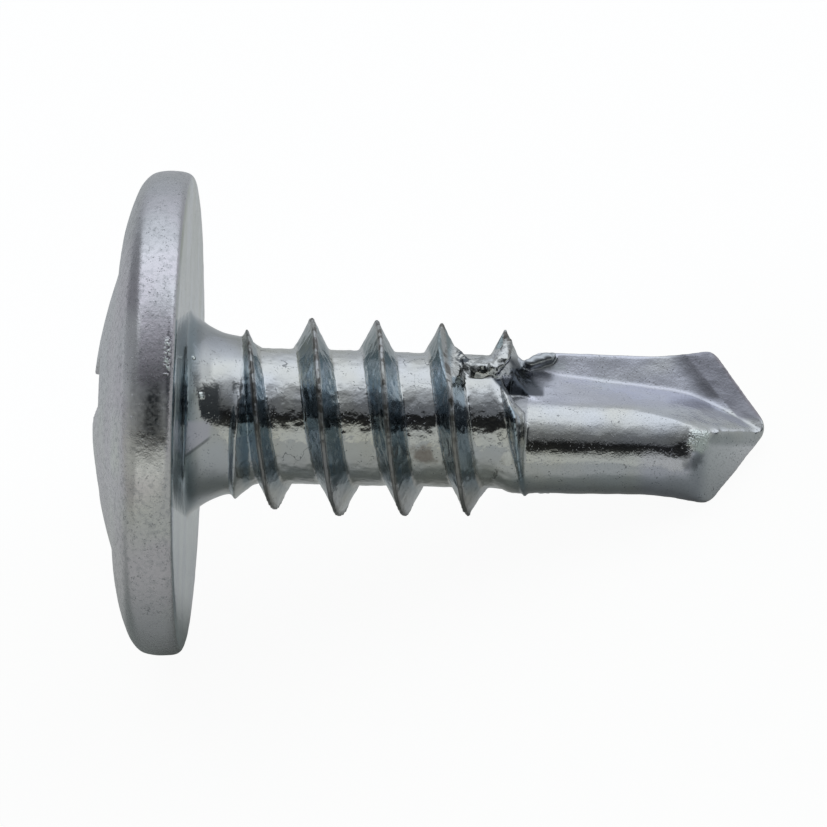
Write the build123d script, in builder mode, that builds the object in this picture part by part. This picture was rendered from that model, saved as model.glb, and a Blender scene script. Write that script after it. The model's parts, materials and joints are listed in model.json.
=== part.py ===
from build123d import *
from itertools import permutations
from math import acos, atan2, cos, hypot, radians, sin, tan
import os

# Self drilling screw with a wafer head, in millimetres: one forged and thread-rolled piece.
#
# It is drawn upright first, on the Z axis: the bearing face of the head lies in the XY plane, the head is
# above it and the drill point is below. It is then laid down on a level surface, the way it comes to rest.

# Overall
screw_length = 12.45

# Head
head_diameter = 10.5
head_height = 2.1
rim_height = 1.02
rim_lower_radius = 0.42
rim_upper_radius = 0.5
dome_diameter = 6.9
dome_base_height = 1.46

# Cross recess
recess_diameter = 4.3
recess_slot_width = 1.15
recess_core_diameter = 1.95
recess_depth = 1.7
recess_wall_angle = 26.5
recess_draft = 4.0
recess_floor_angle = 28.0
recess_turn = -2.0

# Neck, and the ring left by the edge of the rolling dies
neck_top_diameter = 4.44
neck_diameter = 3.42
neck_length = 1.0
neck_radius = 1.8
ring_diameter = 3.68
ring_width = 0.46

# Thread: single start, right hand
thread_diameter = 4.22
root_diameter = 2.94
thread_pitch = 1.411
thread_angle = 57.0
crest_width = 0.07
thread_turns = 4.5
thread_start_depth = 1.19
run_in_diameter = 3.7
run_in_length = 1.1
run_out_length = 0.8
thread_start_turn = 68.0

# Drill point
point_length = 5.05
body_diameter = 3.28
lobe_radius = 1.07
lobe_lead = 0.35
wing_diameter = 3.5
wing_length = 1.05
wing_edge_length = 0.12
wing_margin = 0.03
lip_angle = 110.0
flank_angle = 98.0
nose_radius = 0.4
wing_corner_radius = 0.12

# Flutes
flute_wall_offset = 0.1
flute_length = 6.75
flute_lead = 0.7
flute_lead_height = 1.75
flute_start_height = 1.25
flute_shoulder_height = 0.83
flute_shoulder_length = 2.1
flute_slope = 45.0
web_slope = 70.0
flute_corner_radius = 0.14
lip_facet_width = 0.5
lip_facet_angle = 9.0

# Rest
touch_tolerance = 0.002

# Values worked out from the sizes above
head_radius = head_diameter / 2
body_radius = body_diameter / 2
wing_radius = wing_diameter / 2
root_radius = root_diameter / 2
half_lip = radians(lip_angle / 2)
half_flank = radians(flank_angle / 2)
apex_depth = screw_length + nose_radius * (1 / sin(half_lip) - 1)
corner_depth = apex_depth - wing_radius / tan(half_lip)
flare_depth = corner_depth - wing_length
wing_depth = corner_depth - wing_edge_length
lobe_reach = body_radius - lobe_radius
lobe_offset = (lobe_reach ** 2 - flute_wall_offset ** 2) ** 0.5
lobe_start = screw_length - point_length - lobe_lead
body_depth = screw_length - point_length
clear = thread_diameter
seam_turn = radians(30)

# Head, neck and root cylinder: round profiles drawn on one upright plane and turned about the Z axis.
# The plane is turned away from the ends of the thread, so the seam of each round face stays clear of them.
turned = Plane(
    origin=(0, 0, 0),
    x_dir=(cos(seam_turn), sin(seam_turn), 0),
    z_dir=(sin(seam_turn), -cos(seam_turn), 0),
)
dome_rise = head_height - dome_base_height
dome_radius = ((dome_diameter / 2) ** 2 + dome_rise ** 2) / (2 * dome_rise)
ring_depth = neck_length + ring_width / 4

with BuildPart() as screw_body:
    with BuildSketch(turned) as head_profile:
        with BuildLine():
            Polyline(
                (0, 0),
                (head_radius, 0),
                (head_radius, rim_height),
                (dome_diameter / 2, dome_base_height),
            )
            RadiusArc((dome_diameter / 2, dome_base_height), (0, head_height), -dome_radius)
            Line((0, head_height), (0, 0))
        make_face()
        fillet(head_profile.vertices().group_by(Axis.X)[-1].sort_by(Axis.Y)[0], rim_lower_radius)
        fillet(head_profile.vertices().group_by(Axis.X)[-1].sort_by(Axis.Y)[-1], rim_upper_radius)
    revolve(axis=Axis.Z)

    with BuildSketch(turned):
        with BuildLine():
            Line((0, 0), (neck_top_diameter / 2, 0))
            RadiusArc((neck_top_diameter / 2, 0), (neck_diameter / 2, -neck_length), -neck_radius)
            Polyline(
                (neck_diameter / 2, -neck_length),
                (ring_diameter / 2, -ring_depth),
                (root_radius, -neck_length - ring_width),
                (root_radius, -body_depth),
                (0, -body_depth),
                (0, 0),
            )
        make_face()
    revolve(axis=Axis.Z)

# Thread: a V ridge swept along a helix, then trimmed by a cone at each end so that it runs in and out
ridge_height = thread_diameter / 2 - root_radius
ridge_root = crest_width / 2 + ridge_height * tan(radians(thread_angle / 2))
sunk = 0.1 * ridge_height
thread_length = thread_turns * thread_pitch
thread_end_depth = thread_start_depth + thread_length
helix_turn = thread_start_turn - 360 * thread_turns

# The two cones of the trim meet in a rim outside the crest
run_in_slope = (thread_diameter - run_in_diameter) / 2 / run_in_length
run_out_slope = ridge_height / run_out_length
trim_top = thread_start_depth - ridge_root
trim_top_radius = run_in_diameter / 2 - run_in_slope * ridge_root
trim_rise = body_depth * run_out_slope + trim_top * run_in_slope + root_radius - trim_top_radius
trim_peak = trim_rise / (run_in_slope + run_out_slope)
trim_peak_radius = trim_top_radius + run_in_slope * (trim_peak - trim_top)

with BuildPart() as thread:
    with BuildLine(Plane.XY.offset(-thread_end_depth)) as crest_path:
        Helix(thread_pitch, thread_length, root_radius)
    helix_start = crest_path.line @ 0
    outwards = Vector(helix_start.X, helix_start.Y, 0)
    with BuildSketch(Plane(origin=helix_start, x_dir=outwards, z_dir=crest_path.line % 0)):
        Polygon(
            (-sunk, -ridge_root - sunk * tan(radians(thread_angle / 2))),
            (ridge_height, -crest_width / 2),
            (ridge_height, crest_width / 2),
            (-sunk, ridge_root + sunk * tan(radians(thread_angle / 2))),
            align=None,
        )
    sweep(path=crest_path.line, is_frenet=True)
    with BuildSketch(turned):
        Polygon(
            (0, -trim_top),
            (trim_top_radius, -trim_top),
            (trim_peak_radius, -trim_peak),
            (root_radius, -body_depth),
            (0, -body_depth),
            align=None,
        )
    revolve(axis=Axis.Z, mode=Mode.INTERSECT)

# Drill point: two round lobes side by side across the axis, each turned about its own upright line.
# The far side of a lobe is the margin of a land, which flares to the wing.
lobe_centre = (flute_wall_offset, -lobe_offset, 0)
with BuildPart() as lobe:
    with BuildSketch(Plane(origin=lobe_centre, x_dir=(0, 1, 0), z_dir=(1, 0, 0))):
        with BuildLine():
            Polyline(
                (0, -lobe_start),
                (lobe_radius - lobe_lead, -lobe_start),
                (lobe_radius, -body_depth),
                (lobe_radius, -flare_depth),
            )
            flare_end = (wing_radius - lobe_reach + wing_margin, -wing_depth)
            TangentArc((lobe_radius, -flare_depth), flare_end, tangent=(0, -1))
            Polyline(flare_end, (flare_end[0], -apex_depth), (0, -apex_depth), (0, -lobe_start))
        make_face()
    revolve(axis=Axis(lobe_centre, (0, 0, 1)))

# Web: it fills the groove between the lobes up to the floor of the flute, flush with the side of the lobe
web_x = flute_wall_offset + lobe_radius * sin(radians(web_slope))
web_y = lobe_radius * cos(radians(web_slope)) - lobe_offset
web_top_x = web_x - (flute_start_height - web_y) / tan(radians(web_slope))
with BuildPart() as web:
    with BuildSketch(Plane.XY.offset(-body_depth)):
        Polygon(
            (0, 0),
            (web_x, web_y),
            (web_top_x, flute_start_height),
            (0, flute_start_height),
            align=None,
        )
    extrude(amount=body_depth - apex_depth)

# The point is trimmed to a rounded cone inside the circle that the wings drill, and two flanks fall away
nose_depth = screw_length - nose_radius
tangent_radius = nose_radius * cos(half_lip)
tangent_depth = nose_depth + nose_radius * sin(half_lip)
with BuildPart() as drill:
    with PolarLocations(0, 2):
        add(lobe.part)
        add(web.part)
    with BuildSketch(turned) as envelope:
        with BuildLine():
            RadiusArc((0, -screw_length), (tangent_radius, -tangent_depth), -nose_radius)
            Polyline(
                (tangent_radius, -tangent_depth),
                (wing_radius, -corner_depth),
                (wing_radius, 0),
                (0, 0),
                (0, -screw_length),
            )
        make_face()
        fillet(envelope.vertices().group_by(Axis.X)[-1].sort_by(Axis.Y)[0], wing_corner_radius)
    revolve(axis=Axis.Z, mode=Mode.INTERSECT)
    for side in (1, -1):
        flank_normal = (-side / tan(half_flank), side / tan(half_lip), 1)
        split(bisect_by=Plane(origin=(0, 0, -apex_depth), z_dir=flank_normal), keep=Keep.TOP)

# Flute cutter: the wall is flat and the floor slopes away from it, rising at the shank and falling to the tip
flute_start = screw_length - flute_length
floor_start = flute_start + flute_lead
shoulder = screw_length - flute_shoulder_length
with BuildPart() as flute:
    with BuildSketch(Plane.YZ.offset(flute_wall_offset)):
        with BuildLine():
            floor = Line((flute_start_height, -floor_start), (flute_shoulder_height, -shoulder))
            fall = TangentArc(floor @ 1, (0, -screw_length), tangent=floor % 1)
            lead = TangentArc(floor @ 0, (flute_lead_height, -flute_start), tangent=-1 * (floor % 0))
            above = Line(lead @ 1, (lead @ 1) + (lead % 1) * clear)
            below = Line(fall @ 1, (fall @ 1) + (fall % 1) * clear)
            Polyline(
                above @ 1,
                ((above @ 1).X + clear, (above @ 1).Y),
                ((above @ 1).X + clear, (below @ 1).Y),
                below @ 1,
            )
        make_face()
    extrude(amount=clear, dir=(1, -tan(radians(flute_slope)), 0))
    floor_corner = Vector(flute_wall_offset, (floor @ 0.5).X, (floor @ 0.5).Y)
    fillet(flute.edges().sort_by_distance(floor_corner)[0], flute_corner_radius)

# Lip facet: a strip of the flute wall along the cutting lip leans back behind the rest of the wall
lip_line = Vector(0, sin(half_lip), cos(half_lip))
lip_outwards = Vector(0, cos(half_lip), -sin(half_lip))
facet_start = Vector(flute_wall_offset, 0, -apex_depth) - lip_outwards * lip_facet_width
facet_normal = Vector(cos(radians(lip_facet_angle)), 0, 0) + lip_outwards * sin(radians(lip_facet_angle))
with BuildPart() as lip_facet:
    with Locations((-flute_corner_radius, 0, 0)):
        add(flute.part)
    with BuildSketch(Plane(origin=facet_start, x_dir=lip_line, z_dir=facet_normal)):
        Rectangle(2 * clear, 2 * clear, align=(Align.CENTER, Align.MAX))
    extrude(amount=clear, mode=Mode.INTERSECT)

# Cross recess: four tapered slots around a conical core, over a conical floor
slot_reach = recess_diameter / 2 - recess_depth * tan(radians(recess_wall_angle))
core_reach = recess_core_diameter / 2 - recess_depth * tan(radians(recess_draft))
floor_drop = slot_reach * tan(radians(recess_floor_angle))
recess_floor = head_height - recess_depth
with BuildPart() as recess:
    with BuildSketch(Plane.XY.offset(head_height)):
        with PolarLocations(0, 4):
            Rectangle(recess_diameter, recess_slot_width)
    extrude(amount=-recess_depth - floor_drop, taper=recess_draft)
    with BuildSketch(turned):
        Polygon(
            (0, recess_floor),
            (core_reach, recess_floor),
            (recess_core_diameter / 2, head_height),
            (0, head_height),
            align=None,
        )
    revolve(axis=Axis.Z)
    with BuildSketch(turned):
        Polygon(
            (0, recess_floor - floor_drop),
            (slot_reach, recess_floor),
            (recess_diameter / 2, head_height),
            (0, head_height),
            align=None,
        )
    revolve(axis=Axis.Z, mode=Mode.INTERSECT)

with BuildPart() as upright:
    add(screw_body.part)
    with Locations(Rotation(0, 0, helix_turn)):
        add(thread.part)
    add(drill.part)
    with PolarLocations(0, 2):
        add(flute.part, mode=Mode.SUBTRACT)
        add(lip_facet.part, mode=Mode.SUBTRACT)
    with Locations(Rotation(0, 0, recess_turn)):
        add(recess.part, mode=Mode.SUBTRACT)


# Rest: the rim of the head and two corners of the drill point touch the surface, no other corner is below it,
# and of all such rests this one holds the centre of mass lowest
def lie_on(first, second):
    """The turn about the axis and the tilt at which the rim and two corners touch the surface."""
    span = first - second
    lean = 0
    for _ in range(12):
        lag = max(-1, min(1, span.Z * tan(lean) / hypot(span.X, span.Y)))
        turn = atan2(span.Y, span.X) + acos(lag)
        reach = first.X * cos(turn) + first.Y * sin(turn)
        gap = head_radius - rim_lower_radius + rim_lower_radius / cos(lean) - reach
        lean = atan2(gap, rim_lower_radius - first.Z)
    return turn, lean


corners = [corner.center() for corner in upright.vertices() if corner.Z < -body_depth]
centre_of_mass = upright.part.center(CenterOf.MASS)
rests = []
for first, second in permutations(corners, 2):
    if hypot(first.X - second.X, first.Y - second.Y) > touch_tolerance:
        turn, lean = lie_on(first, second)
        sink = Vector(cos(lean) * cos(turn), cos(lean) * sin(turn), -sin(lean))
        surface = (head_radius - rim_lower_radius) * cos(lean) + rim_lower_radius * (1 - sin(lean))
        if all(corner.dot(sink) < surface + touch_tolerance for corner in corners):
            rests.append((surface - centre_of_mass.dot(sink), turn, lean))
down, tilt = min(rests)[1:]

# The frame that lies down: X runs level from head to tip, Z is up, and the foot of the box is the origin
x_lying = (-cos(down) * sin(tilt), sin(down), -cos(down) * cos(tilt))
lying = Plane(origin=(0, 0, 0), x_dir=x_lying, z_dir=(-cos(tilt), 0, sin(tilt)))
with BuildPart() as settled:
    with Locations(lying.location):
        add(upright.part)

box = settled.part.bounding_box()
foot = Vector(box.center().X, box.center().Y, box.min.Z)
with BuildPart() as screw:
    with Locations(-foot):
        add(settled.part)

screw.part.label = "screw"
os.makedirs("parts", exist_ok=True)
export_step(screw.part, "parts/screw.step")
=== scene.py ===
import json
from math import atan2, cos, pi, radians, sin, tan, tau

import bmesh
import bpy
from bpy.props import FloatProperty, FloatVectorProperty, IntProperty, PointerProperty
from mathutils import Matrix, Vector, noise


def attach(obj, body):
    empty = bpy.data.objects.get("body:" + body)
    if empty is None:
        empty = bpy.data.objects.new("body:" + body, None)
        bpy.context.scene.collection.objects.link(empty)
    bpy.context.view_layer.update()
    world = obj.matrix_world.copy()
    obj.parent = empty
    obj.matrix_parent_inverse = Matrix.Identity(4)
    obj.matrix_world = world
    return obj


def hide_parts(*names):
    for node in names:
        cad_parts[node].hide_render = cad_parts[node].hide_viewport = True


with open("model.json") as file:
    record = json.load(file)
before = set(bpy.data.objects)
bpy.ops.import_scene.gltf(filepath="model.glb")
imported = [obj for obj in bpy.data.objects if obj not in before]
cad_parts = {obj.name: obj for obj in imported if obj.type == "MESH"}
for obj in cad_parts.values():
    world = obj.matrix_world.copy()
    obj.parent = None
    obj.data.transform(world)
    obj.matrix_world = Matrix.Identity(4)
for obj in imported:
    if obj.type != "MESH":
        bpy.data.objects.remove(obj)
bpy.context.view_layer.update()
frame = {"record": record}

bl_info = {
    "name": "Self drilling screw",
    "version": (1, 0, 0),
    "blender": (4, 5, 0),
    "location": "3D View > Sidebar > Screw",
    "description": "A wafer head self drilling screw in bright zinc plate, and the light tent round it",
    "category": "Add Mesh",
}

# The screw is modelled upright in millimetres and then laid in its place. Its axis is Z, the bearing face of
# the head is at Z 0 and the head is above it. A depth is the distance below that face. The flutes' walls face
# X and -X. A height across the view and a reach towards the view are measured from the axis, at VIEW_TURN.
VIEW_TURN = radians(-22)
VIEW_SIN, VIEW_COS = 0.375, 0.927

# Angle of the recess's cone, from its axis
RECESS_CONE = radians(26.5)

# Turned outline of the head, its neck and the thread's root, as (radius, height), from the dome down
DOME = (
    (0.0, 2.09), (0.55, 2.07), (1.05, 2.02), (1.55, 1.946), (2.1, 1.83), (2.63, 1.69), (3.09, 1.55),
    (3.43, 1.47),
)
RIM = (
    (3.43, 1.47), (3.83, 1.44), (4.15, 1.387), (4.5, 1.29),
    (4.86, 1.15), (5.05, 1.03), (5.17, 0.9), (5.225, 0.75),
    (5.25, 0.55), (5.245, 0.34), (5.22, 0.17), (5.15, 0.06), (5.03, 0.01), (4.85, 0.0),
)
NECK = (
    (2.3, -0.005), (2.2, -0.06), (2.1, -0.16), (1.965, -0.33), (1.886, -0.46), (1.82, -0.59), (1.768, -0.72),
    (1.735, -0.85), (1.712, -0.98),
)
DIE_RING = (
    (1.712, -0.98), (1.745, -1.04), (1.81, -1.085), (1.835, -1.11), (1.8, -1.15), (1.66, -1.27), (1.52, -1.42)
)
ROOT = (
    (1.465, -1.54), (1.46, -2.5), (1.455, -4.0), (1.44, -5.6), (1.43, -6.3), (1.45, -6.75), (1.465, -6.97),
    (1.42, -7.09), (1.3, -7.21), (1.0, -7.34), (0.0, -7.34),
)

# Radius of the thread's crest, as (turns from its start, radius)
CREST = (
    (-0.12, 1.5), (0.0, 1.85), (0.25, 1.93), (0.5, 2.02), (0.75, 2.1), (1.0, 2.145), (1.5, 2.14), (2.0, 2.13),
    (2.5, 2.09), (3.0, 2.095), (3.5, 2.07), (4.0, 2.02), (4.12, 1.92),
    (4.25, 1.8), (4.38, 1.7), (4.5, 1.63), (4.58, 1.52),
)

# Floor of a flute, as (depth, height of the corner along the wall, slope in degrees)
FLOOR = (
    (4.6, 1.2, 52.0), (7.0, 1.18, 52.0), (7.7, 1.12, 51.0),
    (8.3, 1.04, 49.0), (9.0, 0.95, 47.0), (9.6, 0.89, 46.0),
    (10.4, 0.8, 46.0), (10.85, 0.7, 46.0), (11.2, 0.55, 46.0), (11.6, 0.36, 46.0), (12.25, -0.03, 46.0),
    (12.8, -0.36, 46.0),
)

# How far the floor of a flute lies above its own plane where it runs out at the shank, as (depth, lift)
RUN_OUT = (
    (4.6, 1.9), (5.2, 1.2), (5.6, 0.85), (5.9, 0.71), (6.2, 0.66),
    (6.5, 0.62), (6.7, 0.54), (6.9, 0.4), (7.1, 0.18),
    (7.3, 0.06), (7.55, 0.01), (7.8, 0.0),
)

# Radius of a lobe of the drill body, as (depth, radius)
LOBE = (
    (6.4, 0.75), (6.65, 0.89), (6.83, 0.98), (7.0, 1.035), (7.2, 1.06),
    (7.7, 1.062), (8.6, 1.06), (9.5, 1.04), (9.95, 1.045),
    (10.35, 1.075), (10.75, 1.13), (11.1, 1.19), (11.35, 1.21), (12.6, 1.21),
)

# Burr pushed up round the start of a flute, as (depth, height across the view, reach towards it, radius)
LIP_BURR = (
    (5.72, 1.52, 0.4, 0.07), (5.88, 1.36, 0.68, 0.11), (6.06, 1.2, 0.88, 0.15), (6.28, 1.12, 1.0, 0.165),
    (6.5, 1.1, 1.0, 0.17), (6.68, 1.2, 0.92, 0.165), (6.79, 1.38, 0.8, 0.15), (6.86, 1.58, 0.64, 0.13),
    (6.88, 1.76, 0.48, 0.09),
)

# Torn lump on a flute's wall, as ellipsoids: (depth, height across the view, reach, half length, half width)
LUMPS = (
    (7.36, 1.27, -0.2, 0.16, 0.1), (7.52, 1.33, -0.27, 0.2, 0.14), (7.7, 1.4, -0.33, 0.18, 0.13),
    (7.82, 1.45, -0.38, 0.1, 0.09),
)


# Strip of a flute's wall that is ground back along the cutting lip, as (distance from the point, width)
LIP_STRIP = ((0.25, 0.08), (0.55, 0.3), (0.9, 0.42), (1.5, 0.53), (2.7, 0.66))


class ScrewShape(bpy.types.PropertyGroup):
    thread_pitch: FloatProperty(
        name="Thread pitch", description="Axial distance between crests, in millimetres", default=1.411,
        min=0.5,
    )
    thread_start: FloatProperty(
        name="Thread start", description="Depth of the crest where the thread starts, in millimetres",
        default=1.19,
    )
    thread_turn: FloatProperty(
        name="Thread turn", description="Angle about the axis at which the thread starts",
        default=radians(68), subtype="ANGLE",
    )
    flank_slope: FloatProperty(
        name="Flank slope", description="Angle between a flank of the thread and a plane across the axis",
        default=radians(28.5), subtype="ANGLE",
    )
    crest_wear: FloatProperty(
        name="Crest wear", description="Half of the width worn flat on the crest, in millimetres",
        default=0.015, min=0,
    )
    wall_offset: FloatProperty(
        name="Wall offset", description="Distance of a flute's wall from the axis, in millimetres",
        default=0.1,
    )
    lobe_offset: FloatProperty(
        name="Lobe offset", description="Distance of a lobe's centre along the wall, in millimetres",
        default=0.561,
    )
    tip_depth: FloatProperty(
        name="Tip depth", description="Distance from the bearing face to the tip, in millimetres",
        default=12.45,
    )
    wing_radius: FloatProperty(
        name="Wing radius", description="Radius of the circle that the wings drill, in millimetres",
        default=1.75,
    )
    nose_radius: FloatProperty(
        name="Nose radius", description="Rounding of the tip, in millimetres", default=0.4
    )
    lip_angle: FloatProperty(
        name="Lip angle", description="Full angle between the two cutting lips", default=radians(110),
        subtype="ANGLE",
    )
    flank_angle: FloatProperty(
        name="Flank angle", description="Full angle between the two flanks behind the lips",
        default=radians(106), subtype="ANGLE",
    )
    recess_radius: FloatProperty(
        name="Recess radius", description="Reach of the cross recess's slots, in millimetres", default=2.15
    )
    recess_width: FloatProperty(
        name="Recess slot width", description="Width of a slot at the dome, in millimetres", default=1.15
    )
    recess_depth: FloatProperty(
        name="Recess depth", description="Depth of the slots' floor, in millimetres", default=1.7
    )
    ripple: FloatProperty(
        name="Ripple", description="Height of the unevenness that forging and rolling leave, in millimetres",
        default=0.012,
    )
    grain_size: FloatProperty(
        name="Mesh grain", description="Edge length of the mesh before it is thinned, in millimetres",
        default=0.036, min=0.02,
    )
    triangles: IntProperty(
        name="Triangles", description="Number of triangles that the screw is thinned to", default=185000
    )


class ScrewPlating(bpy.types.PropertyGroup):
    zinc: FloatVectorProperty(
        name="Zinc", description="Colour of clean bright zinc", default=(0.62, 0.64, 0.67), subtype="COLOR",
        min=0, max=1,
    )
    warm_zinc: FloatVectorProperty(
        name="Warm zinc", description="Colour of the passivated patches", default=(0.62, 0.62, 0.58),
        subtype="COLOR", min=0, max=1,
    )
    lilac_zinc: FloatVectorProperty(
        name="Lilac zinc", description="Colour of the thin passivated film on the drill body",
        default=(0.6, 0.61, 0.71), subtype="COLOR", min=0, max=1,
    )
    # Also the colour of the painted shade along the top and bottom edges of the rim.
    frosted_zinc_and_shade: FloatVectorProperty(
        name="Frosted zinc", description="Colour of the frosted head", default=(0.44, 0.45, 0.47),
        subtype="COLOR", min=0, max=1,
    )
    flank_zinc: FloatVectorProperty(
        name="Flank zinc", description="Colour of the thread's flanks", default=(0.36, 0.43, 0.48),
        subtype="COLOR", min=0, max=1,
    )
    worn_zinc: FloatVectorProperty(
        name="Worn zinc", description="Colour of the worn crest", default=(0.13, 0.12, 0.11), subtype="COLOR",
        min=0, max=1,
    )
    stain: FloatVectorProperty(
        name="Stain", description="Colour of the brown stain on a root", default=(0.24, 0.2, 0.17),
        subtype="COLOR", min=0, max=1,
    )
    # Also the colour of painted shade and dark painted reflections on the head, neck and drill point.
    pit_and_shade: FloatVectorProperty(
        name="Pit", description="Colour at the bottom of pits and laps", default=(0.1, 0.11, 0.12),
        subtype="COLOR", min=0, max=1,
    )
    shank_roughness: FloatProperty(
        name="Shank roughness", description="Roughness of the neck, roots and drill body", default=0.1, min=0,
        max=1,
    )
    head_roughness: FloatProperty(
        name="Head roughness", description="Roughness of the rim and dome", default=0.25, min=0, max=1
    )


class TentSettings(bpy.types.PropertyGroup):
    tent_radius: FloatProperty(
        name="Tent radius", description="Radius of the light tent", default=0.8, unit="LENGTH"
    )
    camera_distance: FloatProperty(
        name="Camera distance", description="Distance of the camera from the screw", default=0.2,
        unit="LENGTH",
    )
    pixels_per_mm: FloatProperty(
        name="Pixels per millimetre", description="Scale of the picture at the screw's axis", default=46.2
    )
    picture_width: FloatProperty(
        name="Picture width", description="Width of the picture in pixels", default=827.0
    )
    view_turn: FloatProperty(
        name="View turn", description="Angle of the view about the screw's axis, from the wall's normal",
        default=VIEW_TURN, subtype="ANGLE",
    )
    view_lean: FloatProperty(
        name="View lean", description="Angle of the view towards the tip", default=radians(2.25),
        subtype="ANGLE",
    )
    view_roll: FloatProperty(
        name="View roll", description="Slope of the axis in the picture", default=radians(1.47),
        subtype="ANGLE",
    )
    view_depth: FloatProperty(
        name="View depth",
        description="Depth of the point on the axis at the middle of the picture, in millimetres",
        default=4.861,
    )
    view_rise: FloatProperty(
        name="View rise", description="Height of the picture's middle above the axis, in millimetres",
        default=0.1277,
    )
    floor_tone: FloatVectorProperty(
        name="Floor tone", description="Colour of the pale floor", default=(0.48, 0.51, 0.47),
        subtype="COLOR", min=0, max=1,
    )
    shadow_share: FloatProperty(
        name="Shadow share", description="Share of the floor's picture that real light makes", default=0.16,
        subtype="FACTOR", min=0, max=1,
    )


def mount(name):
    return next(entry for entry in frame["record"]["mounts"] if entry["name"] == name)


def screw_placement():
    """The matrix from the upright screw in millimetres to its place in the frame in metres."""
    up = Vector(mount("drive_recess")["axis"]).normalized()
    top = Vector(mount("drive_recess")["pos_m"])
    seat = Vector(mount("bearing_face")["pos_m"])
    foot = top - up * (top - seat).dot(up)
    across = (foot - seat).normalized()
    turn = Matrix((across.cross(up), across, up)).transposed().to_4x4()
    return Matrix.Translation(foot) @ turn @ Matrix.Scale(0.001, 4)


def flowing(points, parts):
    """A smooth curve through the points, with that many parts between each two of them."""
    knots = [Vector(point) for point in points]
    knots = [2 * knots[0] - knots[1]] + knots + [2 * knots[-1] - knots[-2]]
    curve = []
    for before, start, end, after in zip(knots, knots[1:], knots[2:], knots[3:]):
        for part in range(parts):
            t = part / parts
            bend = (end - before) * t + (2 * before - 5 * start + 4 * end - after) * t ** 2
            bend += (3 * start - 3 * end + after - before) * t ** 3
            curve.append(start + bend / 2)
    return curve + [knots[-2]]


def along(table, place):
    """The rest of the table's row at that place, between its rows."""
    rows = [Vector(row) for row in table]
    place = min(max(place, rows[0][0]), rows[-1][0])
    for low, high in zip(rows, rows[1:]):
        if place <= high[0]:
            return low.lerp(high, (place - low[0]) / (high[0] - low[0]))[1:]


def as_piece(name, bm):
    """Closes the seams of a bmesh, turns its faces outwards and makes it an object."""
    bmesh.ops.remove_doubles(bm, verts=bm.verts, dist=1e-5)
    bmesh.ops.recalc_face_normals(bm, faces=bm.faces)
    mesh = bpy.data.meshes.new(name)
    bm.to_mesh(mesh)
    bm.free()
    piece = bpy.data.objects.new(name, mesh)
    bpy.context.scene.collection.objects.link(piece)
    return piece


def discard(piece):
    mesh = piece.data
    bpy.data.objects.remove(piece)
    bpy.data.meshes.remove(mesh)


def reshape(piece, kind, **settings):
    """Puts a modifier on the piece and keeps what it makes as the piece's mesh."""
    modifier = piece.modifiers.new(kind.title(), kind)
    for name, value in settings.items():
        setattr(modifier, name, value)
    shaped = bpy.data.meshes.new_from_object(piece.evaluated_get(bpy.context.evaluated_depsgraph_get()))
    piece.modifiers.clear()
    old, piece.data = piece.data, shaped
    bpy.data.meshes.remove(old)


def cut(piece, tool, operation="DIFFERENCE"):
    reshape(piece, "BOOLEAN", object=tool, operation=operation, solver="EXACT")


def turned(name, outline, steps, centre=(0.0, 0.0)):
    """A closed piece turned about an upright line through the centre, from (radius, height) points."""
    bm = bmesh.new()
    verts = [bm.verts.new((centre[0] + point[0], centre[1], point[1])) for point in outline]
    edges = [bm.edges.new(pair) for pair in zip(verts, verts[1:])]
    bmesh.ops.spin(
        bm, geom=verts + edges, cent=(*centre, 0), axis=(0, 0, 1), dvec=(0, 0, 0), angle=tau, steps=steps,
        use_merge=True,
    )
    return as_piece(name, bm)


def bridged(name, sections):
    """A closed piece through loops of points."""
    bm = bmesh.new()
    loops = []
    for section in sections:
        verts = [bm.verts.new(point) for point in section]
        loops.append([bm.edges.new(pair) for pair in zip(verts, verts[1:] + verts[:1])])
    for near, far in zip(loops, loops[1:]):
        bmesh.ops.bridge_loops(bm, edges=near + far)
    for end in (loops[0], loops[-1]):
        bmesh.ops.contextual_create(bm, geom=end)
    return as_piece(name, bm)


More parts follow.
